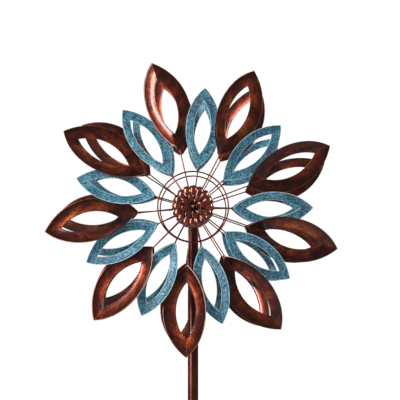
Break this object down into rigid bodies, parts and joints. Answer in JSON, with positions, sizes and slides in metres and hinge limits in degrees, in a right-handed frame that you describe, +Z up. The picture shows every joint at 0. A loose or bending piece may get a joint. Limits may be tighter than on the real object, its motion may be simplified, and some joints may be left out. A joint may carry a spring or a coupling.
{
  "type": "dual-rotor garden wind spinner",
  "caption": "Garden wind spinner: two counter-turning wheels of pierced copper and blue metal leaves on one axle, on a pole with a ground stake.",
  "frame": {"origin": "where the pole's axis meets the ground: the centre of the underside of the stake's cross plate", "axes": "+Z up along the pole, -Y the front of the sculpture, towards which the front wheel faces, +X to the right as seen from the front"},
  "size_m": [0.5955, 0.208, 1.8956],
  "materials": {
    "frame_paint": "dark copper-brown paint, half gloss, brushed with bronze",
    "rosette_finish": "glossy dark copper lacquer",
    "steel": "zinc-plated steel",
    "copper_petal": "mottled burnt-copper lacquer, half gloss",
    "blue_petal": "speckled blue verdigris paint, satin"
  },
  "bodies": {
    "stand": {"ground_stake": "frame_paint", "lower_pole": "frame_paint", "middle_pole": "frame_paint", "upper_pole": "frame_paint", "lower_joint_screw": "steel", "upper_joint_screw": "steel", "pole_head": "frame_paint", "axle": "steel", "front_inner_bearing": "steel", "front_outer_bearing": "steel", "front_axle_nut": "steel", "rear_inner_bearing": "steel", "rear_outer_bearing": "steel", "rear_axle_nut": "steel"},
    "front_rotor": {"front_wire_frame": "frame_paint", "front_blue_petal_1": "blue_petal", "front_copper_petal_1": "copper_petal", "front_blue_petal_2": "blue_petal", "front_copper_petal_2": "copper_petal", "front_blue_petal_3": "blue_petal", "front_copper_petal_3": "copper_petal", "front_blue_petal_4": "blue_petal", "front_copper_petal_4": "copper_petal", "front_blue_petal_5": "blue_petal", "front_copper_petal_5": "copper_petal", "front_blue_petal_6": "blue_petal", "front_copper_petal_6": "copper_petal", "front_blue_petal_7": "blue_petal", "front_copper_petal_7": "copper_petal", "front_blue_petal_8": "blue_petal", "front_copper_petal_8": "copper_petal", "front_blue_petal_9": "blue_petal", "front_copper_petal_9": "copper_petal", "front_hub": "frame_paint", "front_rosette": "rosette_finish", "front_inner_flower": "rosette_finish", "front_rosette_button": "rosette_finish"},
    "rear_rotor": {"rear_wire_frame": "frame_paint", "rear_blue_petal_1": "blue_petal", "rear_copper_petal_1": "copper_petal", "rear_blue_petal_2": "blue_petal", "rear_copper_petal_2": "copper_petal", "rear_blue_petal_3": "blue_petal", "rear_copper_petal_3": "copper_petal", "rear_blue_petal_4": "blue_petal", "rear_copper_petal_4": "copper_petal", "rear_blue_petal_5": "blue_petal", "rear_copper_petal_5": "copper_petal", "rear_blue_petal_6": "blue_petal", "rear_copper_petal_6": "copper_petal", "rear_blue_petal_7": "blue_petal", "rear_copper_petal_7": "copper_petal", "rear_blue_petal_8": "blue_petal", "rear_copper_petal_8": "copper_petal", "rear_blue_petal_9": "blue_petal", "rear_copper_petal_9": "copper_petal", "rear_hub": "frame_paint", "rear_rosette": "rosette_finish", "rear_inner_flower": "rosette_finish", "rear_rosette_button": "rosette_finish"}
  },
  "joints": [
    {"name": "front_spin", "type": "hinge", "parent": "stand", "child": "front_rotor", "pos_m": [0, 0, 1.4], "axis": [0, -1, 0], "continuous": true},
    {"name": "rear_spin", "type": "hinge", "parent": "stand", "child": "rear_rotor", "pos_m": [0, 0, 1.4], "axis": [0, -1, 0], "continuous": true}
  ]
}
